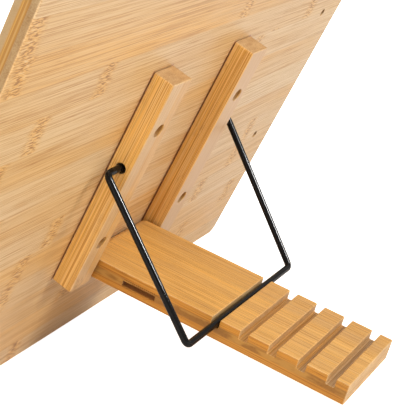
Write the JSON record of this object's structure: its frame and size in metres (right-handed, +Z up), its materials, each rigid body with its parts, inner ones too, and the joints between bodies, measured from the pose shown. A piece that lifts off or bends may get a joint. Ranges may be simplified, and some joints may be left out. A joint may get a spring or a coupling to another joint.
{
  "type": "photo album stand",
  "caption": "Leaning bamboo display stand with a front ledge, held up behind by a hinged notched tongue and a swinging wire bail that sets the angle.",
  "frame": {"origin": "under the middle of the stand's bounding box, on the table it rests on", "axes": "+X to the stand's left seen from behind, -Y the front where the album leans, +Z up"},
  "size_m": [0.39, 0.242, 0.2472],
  "materials": {
    "board_bamboo": "satin, cross grain",
    "rail_bamboo": "satin, edge laminated",
    "tongue_bamboo": "satin, three plies",
    "ledge_bamboo": "satin",
    "dowel_wood": "bare",
    "black_wire": "gloss black",
    "pin_steel": "bare",
    "screw_steel": "zinc plated"
  },
  "bodies": {
    "stand": {"back_board": "board_bamboo", "left_rail": "rail_bamboo", "right_rail": "rail_bamboo", "front_ledge": "ledge_bamboo", "ledge_lip": "ledge_bamboo", "rail_screw_1": "screw_steel", "rail_screw_2": "screw_steel", "rail_screw_3": "screw_steel", "rail_screw_4": "screw_steel", "ledge_dowel_1": "dowel_wood", "ledge_dowel_2": "dowel_wood", "ledge_dowel_3": "dowel_wood", "ledge_dowel_4": "dowel_wood"},
    "tongue": {"support_tongue": "tongue_bamboo", "hinge_pin": "pin_steel"},
    "bail": {"wire_bail": "black_wire"}
  },
  "joints": [
    {"name": "tongue_hinge", "type": "hinge", "parent": "stand", "child": "tongue", "pos_m": [0, -0.03574, 0.05557], "axis": [-1, 0, 0], "range_deg": [0, 102]},
    {"name": "bail_hinge", "type": "hinge", "parent": "stand", "child": "bail", "pos_m": [0, 0.0024, 0.12141], "axis": [1, 0, 0], "range_deg": [0, 124]}
  ]
}
